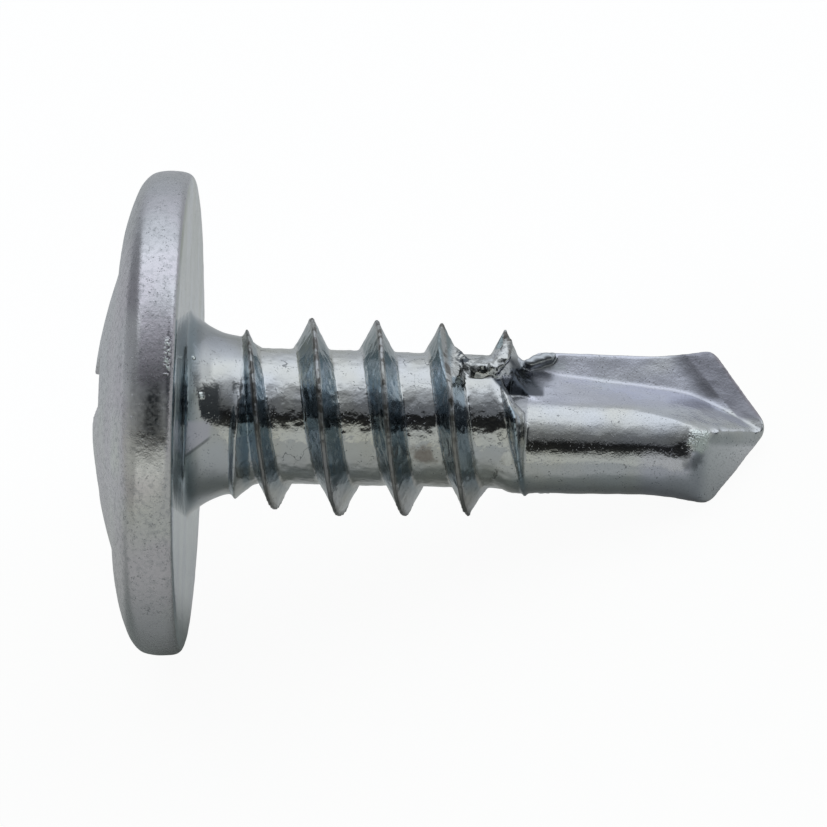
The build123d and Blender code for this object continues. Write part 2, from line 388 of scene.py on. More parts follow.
def thread_ridge(shape, root_radius):
    """The thread's ridge: a section spun down the helix, with each ring drawn out to the crest's radius."""
    steps_per_turn = 90
    first, last = CREST[0][0], CREST[-1][0]
    steps = round((last - first) * steps_per_turn)
    half_width = tan(shape.flank_slope)
    sunk, crest_share, late_lift = 0.12, 0.9, 0.32
    # Half of the section, as (share of the reach, half width)
    side = (
        (-sunk, half_width * (1 + sunk) + 0.03), (0.06, half_width - 0.03), (0.5, half_width * 0.5),
        (0.9, 0.068), (0.96, 0.054), (1.0, 0.028),
    )
    section = side + tuple((out, -rise) for out, rise in reversed(side))
    bm = bmesh.new()
    start = Matrix.Rotation(shape.thread_turn - first * tau, 4, "Z")
    start = start @ Matrix.Translation((root_radius, 0, -shape.thread_start - first * shape.thread_pitch))
    verts = [bm.verts.new(start @ Vector((out, 0, rise))) for out, rise in section]
    edges = [bm.edges.new(pair) for pair in zip(verts, verts[1:] + verts[:1])]
    bmesh.ops.spin(
        bm, geom=verts + edges, cent=(0, 0, 0), axis=(0, 0, -1),
        dvec=(0, 0, -shape.thread_pitch / steps_per_turn), angle=(last - first) * tau, steps=steps,
    )
    bm.verts.ensure_lookup_table()
    for vert in bm.verts:
        step, place = divmod(vert.index, len(section))
        turns = first + step / steps_per_turn
        reach = along(CREST, turns)[0] - root_radius
        chip = 0.02 * noise.noise(Vector((turns * 19, 0, 0)))
        chip += 0.014 * noise.noise(Vector((turns * 60, 3, 0)))
        out, rise = section[place]
        middle = -shape.thread_start - turns * shape.thread_pitch + late_lift * max(turns - 4, 0)
        wander = 0.012 * noise.noise(Vector((turns * 15, 7, 0))) * max(out, 0)
        angle = atan2(vert.co.y, vert.co.x)
        radius = root_radius + (out * reach if out > 0 else out)
        rise *= max(reach, 0.02)
        if out > crest_share:
            radius += chip
            patch = 0.9 * noise.noise(Vector((turns * 6, 11, 0)))
            worn = shape.crest_wear * (1 - 0.5 * sin(angle - VIEW_TURN) + patch)
            rise += max(worn, 0) if rise > 0 else -max(worn, 0)
        vert.co = (radius * cos(angle), radius * sin(angle), middle + rise + wander)
    for end in range(2):
        ring = [edge for edge in bm.edges if edge.is_boundary]
        bmesh.ops.holes_fill(bm, edges=ring, sides=0)
    return as_piece("thread", bm)


def flute_cutter(shape):
    """What a flute takes away: above a sloping floor, in front of a flat wall, and out along a ramp."""
    far, fillet = 5.0, 0.13
    first_depth, spacing = FLOOR[0][0], 0.075
    sections = []
    for step in range(110):
        depth = first_depth + step * spacing
        corner, slope = along(FLOOR, depth)
        slope = radians(slope)
        shift = Vector((sin(slope), cos(slope), 0)) * along(RUN_OUT, depth)[0]
        arc_turn = pi / 2 - slope
        back = fillet * tan(arc_turn / 2)
        middle = Vector((shape.wall_offset + fillet, corner + back, 0))
        arc = []
        for part in range(7):
            angle = pi + arc_turn * part / 6
            arc.append(middle + fillet * Vector((cos(angle), sin(angle), 0)))
        foot = arc[-1] + Vector((cos(slope), -sin(slope), 0)) * far
        outer = [foot, Vector((far + 1, foot.y, 0)), Vector((far + 1, far, 0))]
        loop = [Vector((shape.wall_offset, far, 0))] + arc + outer
        sections.append([point + shift - Vector((0, 0, depth)) for point in loop])
    return bridged("flute_cutter", sections)


def lip_cutter(shape):
    """A wedge that leans the strip of the wall along a cutting lip back behind the rest of the wall."""
    half_lip = shape.lip_angle / 2
    lean = tan(radians(3))
    apex = shape.tip_depth + shape.nose_radius * (1 / sin(half_lip) - 1)
    lip = Vector((0, sin(half_lip), cos(half_lip)))
    outwards = Vector((0, cos(half_lip), -sin(half_lip)))
    sections = []
    for place, width in LIP_STRIP:
        start = Vector((shape.wall_offset, 0, -apex)) + lip * place - outwards * width
        behind = start + outwards - Vector((lean, 0, 0))
        sections.append([start, behind, behind + Vector((0.7, 0, 0)), start + Vector((0.5, 0, 0))])
    return bridged("lip_cutter", sections)


def drill_lobe(shape, steps):
    """One lobe of the drill body, trimmed to the drilled circle, the rounded point and the flanks."""
    outline = [(point[1], -point[0]) for point in flowing(LOBE, 4)]
    outline = [(0.0, outline[0][1])] + outline + [(0.0, outline[-1][1])]
    lobe = turned("lobe", outline, steps, (shape.wall_offset, -shape.lobe_offset))

    half_lip = shape.lip_angle / 2
    apex = shape.tip_depth + shape.nose_radius * (1 / sin(half_lip) - 1)
    nose_centre = shape.tip_depth - shape.nose_radius
    nose = []
    for part in range(9):
        angle = (pi / 2 - half_lip) * part / 8
        nose.append((shape.nose_radius * sin(angle), -nose_centre - shape.nose_radius * cos(angle)))
    corner = -apex + shape.wing_radius / tan(half_lip)
    rounding, upper_end = 0.12, -5.0
    trim = nose + [
        (shape.wing_radius - rounding, corner - rounding / tan(half_lip)),
        (shape.wing_radius - rounding * 0.25, corner + rounding * 0.15),
        (shape.wing_radius, corner + rounding),
        (shape.wing_radius, upper_end),
        (0.0, upper_end),
    ]
    envelope = turned("envelope", trim, steps)
    cut(lobe, envelope, "INTERSECT")
    discard(envelope)

    bm = bmesh.new()
    bm.from_mesh(lobe.data)
    for side in (1, -1):
        normal = Vector((side / tan(shape.flank_angle / 2), -side / tan(half_lip), -1))
        whole = bm.verts[:] + bm.edges[:] + bm.faces[:]
        made = bmesh.ops.bisect_plane(
            bm, geom=whole, plane_co=(0, 0, -apex), plane_no=normal, clear_outer=True
        )
        rim = [part for part in made["geom_cut"] if isinstance(part, bmesh.types.BMEdge)]
        bmesh.ops.holes_fill(bm, edges=rim, sides=0)
    discard(lobe)
    return as_piece("lobe", bm)


def recess_cutters(shape):
    """The cross recess: two tapered slots, trimmed to a cone, and a conical middle."""
    dome_top, above, off_square = 2.1, 0.2, radians(2)
    top, floor = 2.3, dome_top - shape.recess_depth
    slot_reach = shape.recess_radius - shape.recess_depth * tan(RECESS_CONE)
    drop = slot_reach * tan(radians(28))
    cutters = [turned("recess_middle", ((0, top), (0.98, top), (0.86, floor), (0, floor - 0.02)), 48)]
    for quarter in range(2):
        bm = bmesh.new()
        bmesh.ops.create_cube(
            bm, size=1, matrix=Matrix.Translation((0, 0, top - 1)) @ Matrix.Diagonal((6, 1, 3, 1))
        )
        for vert in bm.verts:
            width = shape.recess_width + 2 * (vert.co.z - dome_top) * tan(radians(4))
            vert.co.y = width / 2 if vert.co.y > 0 else -width / 2
        bmesh.ops.rotate(
            bm, verts=bm.verts, cent=(0, 0, 0), matrix=Matrix.Rotation(quarter * pi / 2 - off_square, 3, "Z")
        )
        slot = as_piece("recess_slot", bm)
        rise = shape.recess_radius + above * tan(RECESS_CONE)
        cone = turned("recess_cone", ((0, top), (rise, top), (slot_reach, floor), (0, floor - drop)), 64)
        cut(slot, cone, "INTERSECT")
        discard(cone)
        cutters.append(slot)
    return cutters


def towards_view(depth, height, reach, turn):
    """A point of the upright screw from its depth, and its height across and reach towards the view."""
    near = Vector((cos(turn), sin(turn), 0))
    over = Vector((-sin(turn), cos(turn), 0))
    return near * reach + over * height - Vector((0, 0, depth))


def flute_burrs(turn, rows):
    """The metal pushed up where a flute starts: a ragged lip round its ramp and a torn lump on its wall."""
    rings = flowing([(*towards_view(*row[:3], turn), row[3]) for row in rows], 6)
    sections = []
    for place, ring in enumerate(rings):
        middle = Vector(ring[:3])
        ahead = Vector(rings[min(place + 1, len(rings) - 1)][:3]) - Vector(rings[max(place - 1, 0)][:3])
        frame_turn = ahead.to_track_quat("Z", "Y").to_matrix()
        loop = []
        for part in range(16):
            angle = tau * part / 16
            out = frame_turn @ Vector((cos(angle), sin(angle), 0))
            spot = middle + 0.12 * out
            radius = ring[3] * (1 + 0.38 * noise.noise(spot * 6) + 0.28 * noise.noise(spot * 14))
            loop.append(middle + radius * out)
        sections.append(loop)
    lip = bridged("lip_burr", sections)

    bm = bmesh.new()
    for depth, height, reach, length, width in LUMPS:
        place = Matrix.Translation(towards_view(depth, height, reach, turn))
        made = bmesh.ops.create_icosphere(
            bm, subdivisions=4, radius=1, matrix=place @ Matrix.Diagonal((width, width, length, 1))
        )
        for vert in made["verts"]:
            out = vert.co - place.translation
            vert.co += out * (0.25 * noise.noise(vert.co * 4) + 0.1 * noise.noise(vert.co * 10))
    return [lip, as_piece("wall_lump", bm)]


def lean_ring(mesh, thread_turn):
    """Leans the ring that the thread runs out of, and lets it fade where the thread starts on it."""
    ring_top, ring_foot, inside = DIE_RING[0][1], ROOT[0][1], 1.3
    neck_radius, neck_slope = DIE_RING[0][0], 0.43
    middle, spread, lean = -1.12, 0.42, 0.045
    for vert in mesh.vertices:
        angle = atan2(vert.co.y, vert.co.x)
        radius = vert.co.xy.length
        if ring_foot < vert.co.z < ring_top and radius > inside:
            past = (thread_turn - angle) % tau
            if past < pi:
                left = min(max((past - radians(70)) / radians(35), 0.0), 1.0)
            else:
                left = min((tau - past) / radians(30), 1.0)
            plain = neck_radius - neck_slope * (ring_top - vert.co.z)
            if radius > plain:
                vert.co.xy *= (plain + (radius - plain) * left) / radius
        if ring_foot < vert.co.z < -0.7 and radius > inside:
            share = max(0.0, 1 - abs(vert.co.z - middle) / spread)
            vert.co.z -= lean * share * radius * cos(angle - thread_turn)


def lean_end(mesh, view_turn):
    """Ends the shank earlier where the flutes start than in front of the lobes."""
    start, fade = -6.4, 0.5
    for vert in mesh.vertices:
        if vert.co.z < start:
            wave = sin(2 * (atan2(vert.co.y, vert.co.x) - view_turn))
            vert.co.z += wave * (0.44 if wave > 0 else 0.12) * min((start - vert.co.z) / fade, 1.0)


def soften_flanks(mesh, shape):
    """Rounds the edges between the drill body and the flanks behind the lips."""
    bm = bmesh.new()
    bm.from_mesh(mesh)
    apex = shape.tip_depth + shape.nose_radius * (1 / sin(shape.lip_angle / 2) - 1)
    level, steep = 1 / tan(shape.flank_angle / 2), 1 / tan(shape.lip_angle / 2)
    lobe_radius, band = 1.08, 0.25
    near, edge = [], []
    for vert in bm.verts:
        x, y, z = vert.co
        side = 1 if y < 0 else -1
        off = abs(-(z + apex) + side * (level * x - steep * y))
        from_lobe = ((x - side * shape.wall_offset) ** 2 + (abs(y) - shape.lobe_offset) ** 2) ** 0.5
        if z < -10.1 and off < 0.42 and side * x > 0.2 and abs(from_lobe - lobe_radius) < band:
            near.append(vert)
        elif z < -10.9 and off < 0.32 and side * x > 0.15:
            edge.append(vert)
    for verts, passes in ((near, 70), (edge, 36)):
        for turn in range(passes):
            bmesh.ops.smooth_vert(
                bm, verts=verts, factor=0.5, use_axis_x=True, use_axis_y=True, use_axis_z=True
            )
    bm.to_mesh(mesh)
    bm.free()


def roughen(mesh, ripple):
    """Moves the surface in and out a little, as forging and rolling leave it."""
    bm = bmesh.new()
    bm.from_mesh(mesh)
    bm.normal_update()
    neck_end, shank_end, on_head = -1.2, -7.3, 0.45
    for vert in bm.verts:
        place = vert.co
        shank = 1.0 if place.z < neck_end else on_head
        height = noise.noise(place * 1.7) + 0.5 * noise.noise(place * 4.5)
        if shank_end < place.z < neck_end:
            height += 0.8 * noise.noise(place * 8 + Vector((5, 0, 0)))
        vert.co = place + vert.normal * height * ripple * shank
    bm.to_mesh(mesh)
    bm.free()


class Channel:
    """A socket of a material that is being built. Its arithmetic adds Math nodes."""

    def __init__(self, weave, socket):
        self.weave = weave
        self.socket = socket

    def _math(self, operation, first, second=0.0):
        return self.weave.add("ShaderNodeMath", {"operation": operation}, {0: first, 1: second}).out("Value")

    def __add__(self, other):
        return self._math("ADD", self, other)

    def __radd__(self, other):
        return self._math("ADD", other, self)

    def __sub__(self, other):
        return self._math("SUBTRACT", self, other)

    def __rsub__(self, other):
        return self._math("SUBTRACT", other, self)

    def __mul__(self, other):
        return self._math("MULTIPLY", self, other)

    def __rmul__(self, other):
        return self._math("MULTIPLY", other, self)

    def __truediv__(self, other):
        return self._math("DIVIDE", self, other)

    def __pow__(self, other):
        return self._math("POWER", self, other)

    def __abs__(self):
        return self._math("ABSOLUTE", self)

    def fraction(self):
        return self._math("FRACT", self)

    def turn_of(self, other):
        return self._math("ARCTAN2", self, other)

    def step(self, low, high):
        """0 below low and 1 above high, smooth between them; the other way round where low is the larger."""
        settings = {"interpolation_type": "SMOOTHSTEP"}
        if low > high:
            made = self.weave.add("ShaderNodeMapRange", settings, {0: self, 1: high, 2: low, 3: 1.0, 4: 0.0})
        else:
            made = self.weave.add("ShaderNodeMapRange", settings, {0: self, 1: low, 2: high, 3: 0.0, 4: 1.0})
        return made.out("Result")


class Made:
    def __init__(self, weave, node):
        self.weave = weave
        self.node = node

    def out(self, name):
        return Channel(self.weave, self.node.outputs[name])


class Weave:
    """Builds one node tree."""

    def __init__(self, tree):
        self.tree = tree
        tree.nodes.clear()

    def add(self, kind, settings=None, sockets=None):
        """Adds a node of that kind: first its settings, then the values or links of its sockets."""
        node = self.tree.nodes.new(kind)
        for name, value in (settings or {}).items():
            if name == "stops":
                for stop in range(len(value) - 2):
                    node.color_ramp.elements.new(0.5)
                for element, (place, colour) in zip(node.color_ramp.elements, value):
                    element.position = place
                    element.color = (*colour, 1) if isinstance(colour, tuple) else (colour, colour, colour, 1)
            else:
                setattr(node, name, value)
        for name, value in (sockets or {}).items():
            if isinstance(value, Channel):
                self.tree.links.new(value.socket, node.inputs[name])
            else:
                node.inputs[name].default_value = value
        return Made(self, node)

    def blend(self, share, first, second):
        """A colour between two colours."""
        first, second = (c if isinstance(c, Channel) else (*c, 1) for c in (first, second))
        node = self.add("ShaderNodeMix", {"data_type": "RGBA"}, {0: share, 6: first, 7: second})
        return Channel(self, node.node.outputs[2])

    def noise(self, place, scale, detail=2.0):
        sockets = {"Vector": place, "Scale": scale, "Detail": detail}
        return self.add("ShaderNodeTexNoise", None, sockets).out("Fac")


def plating_material(shape, plating, placement):
    """Bright zinc plate: clear on the shank and frosted on the head, with pits, laps and a stain, and with
    painted highlights, reflections and shade at fixed places.
    """
    material = bpy.data.materials.new("bright_zinc")
    material.use_nodes = True
    weave = Weave(material.node_tree)
    upright = placement.inverted()
    where = weave.add("ShaderNodeTexCoord").out("Object")
    sockets = {
        "Vector": where, "Location": upright.translation, "Rotation": upright.to_euler(),
        "Scale": upright.to_scale(),
    }
    place = weave.add("ShaderNodeMapping", None, sockets).out("Vector")
    split = weave.add("ShaderNodeSeparateXYZ", None, {0: place})
    x, y, z = split.out("X"), split.out("Y"), split.out("Z")
    depth = 0.0 - z
    radius = (x * x + y * y) ** 0.5
    over = x * VIEW_SIN + y * VIEW_COS
    front = x * VIEW_COS - y * VIEW_SIN
    turns = (depth - shape.thread_start) / shape.thread_pitch + (y.turn_of(x) - shape.thread_turn) / tau
    from_crest = abs((turns + 0.5).fraction() - 0.5) * shape.thread_pitch

    # Masks: where a step starts and ends is in millimetres, or a share of a noise
    head = z.step(0.02, 0.07)
    threaded = depth.step(1.15, 1.3) * depth.step(7.5, 7.3)
    flank = threaded * (radius - depth.step(6.5, 7.0) * 0.1).step(1.5, 1.58)
    crest = threaded * radius.step(1.62, 1.74) * from_crest.step(0.085, 0.035)
    root = threaded * radius.step(1.56, 1.5)
    body = depth.step(7.0, 7.3)

    cloud = weave.noise(place, 0.8, 2.0)
    tinge = weave.noise(place, 0.55, 1.0)
    mottle = weave.noise(place, 4.5, 3.0)
    grain = weave.noise(place, 13.0, 2.0)
    speck = weave.noise(place, 27.0, 1.0)

    def spot(depth_at, over_at, front_at, size, edge):
        """1 at that point of the surface, falling to 0 at the size, with a ragged edge."""
        point = towards_view(depth_at, over_at, front_at, VIEW_TURN)
        gap = weave.add("ShaderNodeVectorMath", {"operation": "DISTANCE"}, {0: place, 1: point}).out("Value")
        return (gap + (mottle - 0.5) * edge).step(size, size * 0.35)

    fleck = speck.step(0.66, 0.72) * mottle.step(0.48, 0.56)
    frost = weave.noise(place, 9.0, 3.0)
    dust = grain.step(0.68, 0.76)
    bend = weave.add("ShaderNodeTexNoise", None, {"Vector": place, "Scale": 2.2, "Detail": 4.0}).out("Color")
    bend = weave.add("ShaderNodeVectorMath", {"operation": "SCALE"}, {0: bend, 3: 1.3}).out("Vector")
    wound = weave.add("ShaderNodeVectorMath", {"operation": "ADD"}, {0: place, 1: bend}).out("Vector")
    seams = weave.add(
        "ShaderNodeTexVoronoi", {"feature": "DISTANCE_TO_EDGE"}, {"Vector": wound, "Scale": 0.8}
    )
    lap = seams.out("Distance").step(0.014, 0.004) * weave.noise(place, 1.9, 2.0).step(0.53, 0.6) * root

    torn = depth.step(5.6, 5.75) * depth.step(7.0, 6.9) * over.step(0.9, 0.98) * front.step(0.0, 0.3)
    lump = depth.step(7.1, 7.2) * depth.step(8.2, 8.05) * over.step(1.1, 1.2) * front.step(-0.5, -0.36)
    # Painted shade: near black in the hollow where a flute starts.
    painted_hollow_shade = (depth + over * 0.976).step(7.44, 7.52) * depth.step(7.72, 7.64)
    painted_hollow_shade = painted_hollow_shade * over.step(0.55, 0.6) * over.step(1.5, 1.3)
    painted_hollow_shade = painted_hollow_shade * front.step(-0.6, -0.5) * (1 - torn) * (1 - (depth + over).step(8.25, 8.6))
    stain = spot(5.15, -0.76, 1.26, 0.34, 0.7) * (0.55 + grain * 0.4)
    # Painted glints: a bright speckled streak low on the side of the rim.
    glint_streak = z.step(0.1, 0.15) * z.step(0.27, 0.2) * over.step(0.75, 0.95) * over.step(1.65, 1.45)
    glint_streak = glint_streak * front.step(3.0, 4.0) * grain.step(0.45, 0.55)
    # Painted glints near the tip and on the neck, together with the rim's streak.
    painted_glints = spot(11.08, -0.3, 1.38, 0.36, 0.5) + spot(0.37, 0.4, 1.9, 0.09, 0.1)
    painted_glints = painted_glints + spot(0.17, 1.2, 1.71, 0.06, 0.05) + glint_streak
    cracked = spot(5.93, 1.36, 0.85, 0.27, 0.5)
    lip_sin, lip_cos, nose_gap = 0.819, 0.574, 0.088
    aslant = lip_sin * (z + shape.tip_depth + nose_gap) - lip_cos * y
    facet = (aslant - lip_sin * 0.1 * y).step(0.45, 0.39) * y.step(0.05, 0.25)
    facet = facet * x.step(-0.02, 0.02) * x.step(0.2, 0.15) * depth.step(10.0, 10.2)

    zinc = weave.blend(cloud.step(0.3, 0.7), plating.zinc, plating.warm_zinc)
    # Painted light: the head is lighter and warmer on its lower side and cooler above.
    zinc = weave.blend(head, zinc, weave.blend(over.step(-1.0, 1.0), (0.74, 0.75, 0.71), (0.68, 0.68, 0.71)))
    zinc = weave.blend(head * tinge.step(0.4, 0.6) * 0.7, zinc, (0.68, 0.63, 0.69))
    film = over.step(0.3, 0.5) * 0.7 + depth.step(9.6, 10.0) * over.step(-0.3, -0.6) * 0.8
    zinc = weave.blend(body * film * tinge.step(0.35, 0.5), zinc, plating.lilac_zinc)
    under = depth.step(-0.05, -0.03) * depth.step(0.03, 0.0)
    face = depth.step(-0.05, -0.03) * depth.step(0.4, 0.1) * front.step(0.3, 0.8)
    face = face * (abs(over) + front * 0.06).step(2.3, 2.22)
    brush_streaks_and_reflection = weave.add("ShaderNodeCombineXYZ", None, {0: over * 0.35, 1: front * 0.9}).out("Vector")
    brush_streaks_and_reflection = weave.noise(brush_streaks_and_reflection, 1.0, 3.0)
    # Painted shade: the rim darkens towards its top and bottom edges.
    shade = head * (over.step(3.3, 3.8) * 0.5 + over.step(-3.3, -4.7) * 0.9)
    colour = weave.blend(shade, zinc, plating.frosted_zinc_and_shade)
    colour = weave.blend(
        head * (frost.step(0.48, 0.64) * 0.4 + speck.step(0.5, 0.65) * 0.25), colour, plating.frosted_zinc_and_shade
    )
    # Painted reflection: a dark patch on the middle of the rim, in place of the dark gap at the camera that
    # it mirrors.
    rim_dark_reflection = head * z.step(0.16, 0.38) * z.step(0.76, 0.5) * over.step(-0.85, -0.2) * over.step(1.0, 0.3)
    rim_dark_reflection = rim_dark_reflection * (0.7 + grain.step(0.4, 0.6) * 0.3)
    pitted = head * weave.noise(place, 15.0, 2.0).step(0.62, 0.68) * mottle.step(0.5, 0.58)
    # Painted highlights: near-white patches across the middle of the rim and on the head's upper shoulder.
    painted_rim_highlight = head * z.step(0.1, 0.22) * z.step(1.15, 0.85) * over.step(0.8, 0.35) * over.step(-1.7, -1.0)
    painted_shoulder_highlight = z.step(0.72, 0.84) * z.step(1.2, 1.05) * over.step(2.4, 1.8) * over.step(0.1, 0.6)
    colour = weave.blend(painted_rim_highlight * 0.9 + painted_shoulder_highlight * 0.8, colour, (0.95, 0.95, 0.96))
    colour = weave.blend(rim_dark_reflection * 0.92 + pitted * 0.5, colour, plating.pit_and_shade)
    # Painted shade: a dark band along the fold of the flute's wall near the tip.
    fold = depth + over * 0.767
    painted_crease_shade = fold.step(11.3, 11.87) * fold.step(12.12, 11.92) * over.step(0.5, 0.7)
    painted_crease_shade = painted_crease_shade * x.step(-0.04, 0.0) * x.step(0.2, 0.12) * y.step(0.0, 0.2)
    colour = weave.blend(painted_crease_shade * 0.92, colour, (0.15, 0.15, 0.17))
    # Painted shade: the ground strip along the cutting lip is darker.
    colour = weave.blend(facet * 0.95, colour, (0.3, 0.3, 0.34))
    # Painted highlight: the lower part of the bearing face is near white.
    colour = weave.blend(under * over.step(-1.0, -2.4) * 0.9, colour, (0.9, 0.96, 1.0))
    # Brushing streaks on the bearing face, coloured as a painted reflection: pale blue below and dark olive
    # above.
    colour = weave.blend(
        under * brush_streaks_and_reflection.step(0.42, 0.6) * 0.7, colour,
        weave.blend(over.step(-1.0, 1.0), (0.66, 0.7, 0.82), (0.45, 0.47, 0.38)),
    )
    shadow = weave.blend(over.step(1.1, 1.6), tuple(plating.flank_zinc), (0.28, 0.33, 0.34))
    colour = weave.blend(flank * over.step(-1.75, -1.25) * (1 - torn) * (1 - crest * 0.9), colour, shadow)
    # Painted reflection: teal on the bearing face beside the neck, dark where it reaches the neck's foot and
    # towards its ends.
    teal_reflection_share = over.step(1.2, 0.8) * over.step(-1.75, -1.4) * depth.step(0.13, 0.07)
    colour = weave.blend(face * 0.78, colour, weave.blend(teal_reflection_share, (0.22, 0.28, 0.32), (0.5, 0.6, 0.66)))
    # Painted shade on the upper side of the neck.
    painted_neck_shade = depth.step(0.12, 0.3) * depth.step(0.62, 0.48) * over.step(0.65, 0.85)
    painted_neck_shade = painted_neck_shade + (1 - painted_neck_shade) * depth.step(0.12, 0.3) * depth.step(1.3, 1.15) * over.step(1.05, 1.3)
    colour = weave.blend(painted_neck_shade * front.step(-0.3, 0.3) * 0.36, colour, plating.pit_and_shade)
    # Painted reflection: a lilac patch on the lower side of the neck, with a dark line along its edge.
    ebb = over + 0.96 - depth * 0.8
    dart_reflection = over.step(-0.1, -0.22) * depth.step(0.62, 0.5) * depth.step(0.03, 0.08) * front.step(1.0, 1.3)
    colour = weave.blend(dart_reflection * ebb.step(0.0, 0.05) * 0.6, colour, (0.62, 0.6, 0.7))
    colour = weave.blend(dart_reflection * abs(ebb).step(0.06, 0.01) * 0.6, colour, plating.pit_and_shade)
    worn = 0.3 + over.step(0.2, -0.7) * 0.34 + mottle.step(0.46, 0.56) * over.step(-0.9, 0.2) * 0.6
    colour = weave.blend(crest * worn, colour, plating.worn_zinc)
    edged = aslant.step(0.1, 0.04) * y.step(0.1, 0.3) * x.step(-0.05, 0.0)
    edged = edged * x.step(0.3, 0.2) * depth.step(10.2, 10.5)
    colour = weave.blend(edged * 0.6, colour, (0.2, 0.17, 0.18))
    # Painted highlight: near white on the lower side of the drill body near the tip.
    colour = weave.blend(depth.step(11.0, 11.35) * over.step(-0.3, -0.45), colour, (0.93, 0.93, 0.98))
    chamfer = depth.step(6.9, 7.0) * depth.step(7.38, 7.32) * radius.step(1.48, 1.43) * over.step(0.9, 0.7)
    colour = weave.blend(chamfer * 0.6 + body * speck.step(0.42, 0.66) * 0.22, colour, (0.4, 0.41, 0.43))
    colour = weave.blend(painted_hollow_shade * (0.97 - 0.12 * depth.step(7.2, 7.7)), colour, (0.05, 0.06, 0.075))
    # Painted shade: a dark spot on the drill body below the glints near the tip.
    colour = weave.blend(spot(10.95, -0.74, 1.25, 0.32, 0.5) * 0.6, colour, plating.pit_and_shade)
    # Painted glints in near white.
    colour = weave.blend(painted_glints * 0.9, colour, (0.88, 0.95, 0.92))
    colour = weave.blend(stain, colour, plating.stain)
    colour = weave.blend(fleck * 0.55 + dust * 0.25 + lap * 0.7, colour, plating.pit_and_shade)
    colour = weave.blend(lump * 0.75, colour, (0.46, 0.49, 0.5))
    cracks = torn * mottle.step(0.47, 0.4) * 0.5 + cracked * frost.step(0.6, 0.45) * 0.9
    colour = weave.blend(cracks, colour, plating.pit_and_shade)

    roughness = plating.shank_roughness + head * (plating.head_roughness - plating.shank_roughness)
    roughness = roughness + (mottle - 0.5) * 0.1 + crest * 0.2 + body * 0.02 + flank * 0.04 + painted_glints * 0.2
    roughness = roughness + head * (frost - 0.5) * 0.3 + chamfer * 0.25 + lump * 0.18
    roughness = roughness + painted_rim_highlight * over.step(-0.55, -0.2) * 0.15
    hazed = depth.step(7.3, 7.5) * depth.step(8.2, 7.9) * over.step(0.7, 0.85) * over.step(1.25, 1.1)
    roughness = roughness + hazed * 0.25

    height = grain * 0.0034 + mottle * 0.0035 + weave.noise(place, 1.8, 1.0) * 0.005
    height = height + speck * (head * 0.0025 + body * 0.0022)
    height = height + root * weave.noise(place, 9.0, 2.0) * 0.006
    height = height - fleck * 0.004 + torn * mottle * 0.03
    height = height + painted_glints * speck * 0.035 + crest * grain * 0.006
    bump = weave.add("ShaderNodeBump", None, {"Strength": 1.0, "Distance": 0.001, "Height": height})

    sockets = {"Base Color": colour, "Metallic": 1.0, "Roughness": roughness, "Normal": bump.out("Normal")}
    shader = weave.add("ShaderNodeBsdfPrincipled", None, sockets)
    weave.add("ShaderNodeOutputMaterial", None, {"Surface": shader.out("BSDF")})
    return material


def view_axes(settings, placement):
    """The picture's directions in the frame: to the right, up, and towards the camera."""
    turn, lean, roll = settings.view_turn, settings.view_lean, settings.view_roll
    tip = Vector((0, 0, -1))
    near = tip * sin(lean) + Vector((cos(turn), sin(turn), 0)) * cos(lean)
    right = (tip - tip.dot(near) * near).normalized()
    up = near.cross(right)
    level = right * cos(roll) + up * sin(roll)
    rise = up * cos(roll) - right * sin(roll)
    axes = placement.to_3x3().normalized()
    return axes @ level, axes @ rise, axes @ near


def tent_material(settings, placement):
    """The light of the tent by its angle over the view: a bright panel overhead, a dark gap at the camera."""
    material = bpy.data.materials.new("tent_light")
    material.use_nodes = True
    weave = Weave(material.node_tree)
    right, up, near = view_axes(settings, placement)
    turn = Matrix((up, near, right))
    where = weave.add("ShaderNodeTexCoord").out("Object")
    place = weave.add("ShaderNodeMapping", None, {"Vector": where, "Rotation": turn.to_euler()}).out("Vector")
    split = weave.add("ShaderNodeSeparateXYZ", None, {0: place})
    above, towards, aside = split.out("X"), split.out("Y"), split.out("Z")
    angle = above.turn_of(towards) / tau + 0.5
    panel, low = (0.95, 1.0, 1.06), (0.99, 1.02, 0.95)
    stops = (
        (-180, 0.5, low), (-138, 0.45, low), (-92, 0.4, low),
        (-50, 0.48, low), (-30, 0.56, low), (-21, 0.42, low),
        (-17, 0.2, low), (-14, 0.03, low), (2, 0.01, panel), (8, 0.03, panel), (13, 0.14, panel),
        (26, 0.18, panel), (33, 0.3, panel),
        (40, 0.42, panel), (45, 0.47, panel), (52, 0.7, panel), (62, 0.98, panel), (90, 1.08, panel),
        (106, 0.9, panel), (128, 0.6, panel),
        (150, 0.5, panel), (180, 0.5, panel),
    )
    tones = [((degrees + 180) / 360, tuple(tone * part for part in tint)) for degrees, tone, tint in stops]
    light = weave.add("ShaderNodeValToRGB", {"stops": tones}, {"Fac": angle}).out("Color")
    stops = (
        (-180, 0.35, low), (-40, 0.35, low), (-15, 0.2, low), (0, 0.06, panel), (25, 0.15, panel),
        (60, 0.24, panel), (150, 0.24, panel), (180, 0.35, panel),
    )
    tones = [((degrees + 180) / 360, tuple(tone * part for part in tint)) for degrees, tone, tint in stops]
    dim = weave.add("ShaderNodeValToRGB", {"stops": tones}, {"Fac": angle}).out("Color")
    aside = aside / settings.tent_radius
    beside = aside.step(0.78, 0.93) + aside.step(-0.5, -0.72)
    light = weave.blend(beside, light, dim)
    gap = aside.step(0.3, 0.5) * aside.step(0.97, 0.88) * angle.step(0.46, 0.475) * angle.step(0.65, 0.615)
    light = weave.blend(gap * 0.9, light, (0.03, 0.035, 0.04))
    shader = weave.add("ShaderNodeEmission", None, {"Color": light, "Strength": 1.0})
    weave.add("ShaderNodeOutputMaterial", None, {"Surface": shader.out("Emission")})
    return material


